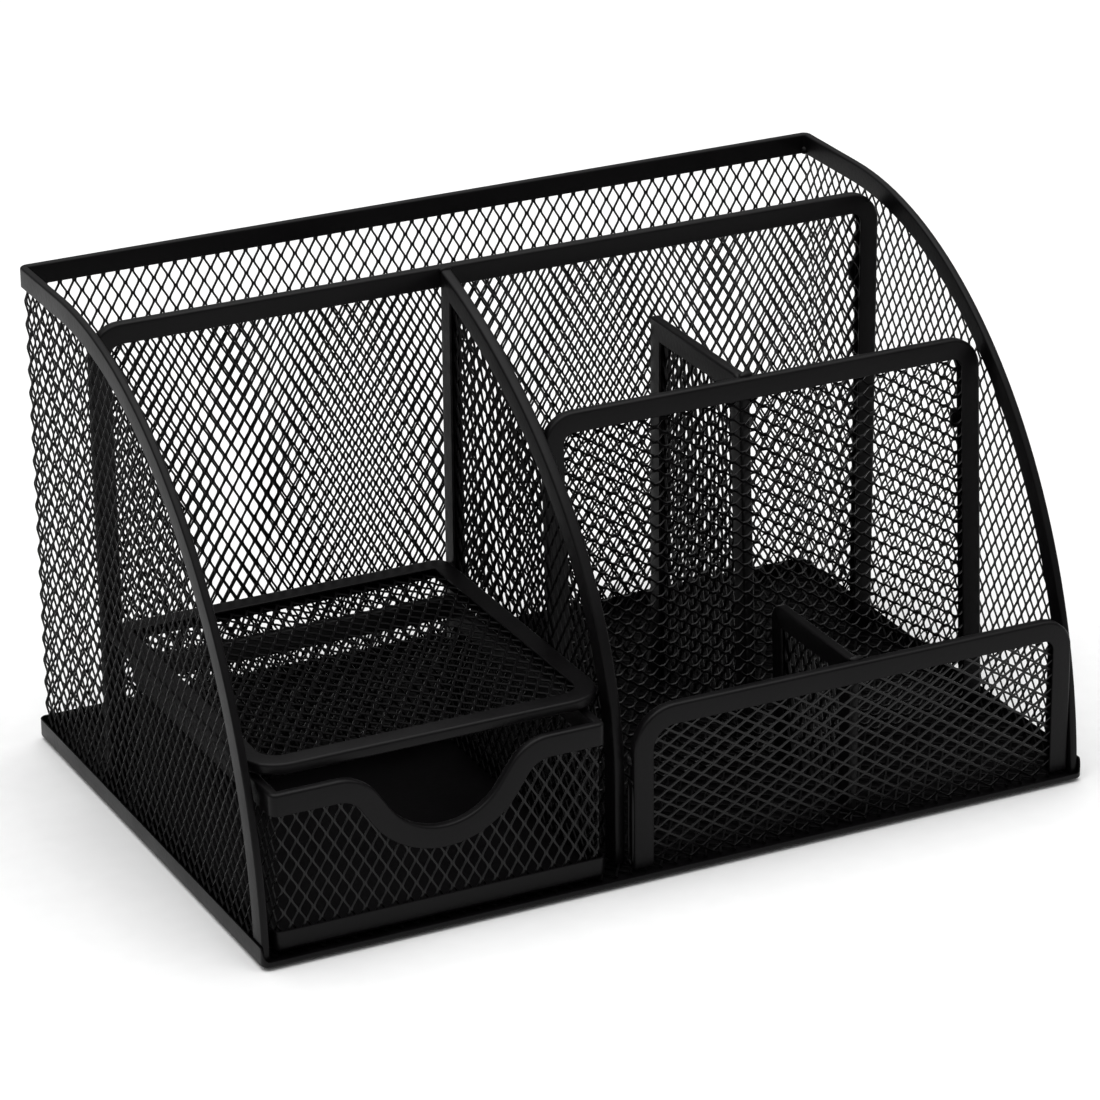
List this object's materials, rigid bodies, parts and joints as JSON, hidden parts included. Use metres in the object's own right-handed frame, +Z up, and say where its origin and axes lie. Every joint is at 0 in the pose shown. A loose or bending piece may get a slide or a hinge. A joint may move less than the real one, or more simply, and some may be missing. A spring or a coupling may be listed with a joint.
{
  "type": "desk organizer",
  "caption": "Black expanded-steel desk organizer: full-width letter slot, upright bays, flat shelf and a sliding drawer with a finger scoop.",
  "frame": {"origin": "middle of the footprint, on the desk under the feet", "axes": "+X to the right as seen from the front, +Y to the back (the drawer opens towards -Y), +Z up"},
  "size_m": [0.2208, 0.143, 0.1271],
  "materials": {
    "powder_coat": "black powder coat, semi-matte",
    "coated_mesh": "black powder coat on expanded steel mesh",
    "rubber": "matte black"
  },
  "bodies": {
    "frame": {"foot_front_left": "rubber", "foot_front_right": "rubber", "foot_rear_left": "rubber", "foot_rear_right": "rubber", "base_tray": "powder_coat", "floor_mesh": "coated_mesh", "shell_mesh": "coated_mesh", "back_rim": "powder_coat", "left_side_rim": "powder_coat", "right_side_rim": "powder_coat", "rear_divider_mesh": "coated_mesh", "rear_divider_rim": "powder_coat", "centre_divider_mesh": "coated_mesh", "centre_divider_rim": "powder_coat", "mid_panel_mesh": "coated_mesh", "mid_panel_rim": "powder_coat", "front_panel_mesh": "coated_mesh", "front_panel_rim": "powder_coat", "rear_bay_divider_mesh": "coated_mesh", "rear_bay_divider_rim": "powder_coat", "front_bay_divider_mesh": "coated_mesh", "front_bay_divider_rim": "powder_coat", "shelf_mesh": "coated_mesh", "shelf_frame": "powder_coat", "rear_divider_lug": "powder_coat", "mid_panel_lug": "powder_coat"},
    "drawer": {"drawer_mesh": "coated_mesh", "drawer_rim": "powder_coat", "drawer_pan": "powder_coat"}
  },
  "joints": [
    {"name": "drawer_slide", "type": "slide", "parent": "frame", "child": "drawer", "axis": [0, -1, 0], "range_m": [0, 0.075]}
  ]
}
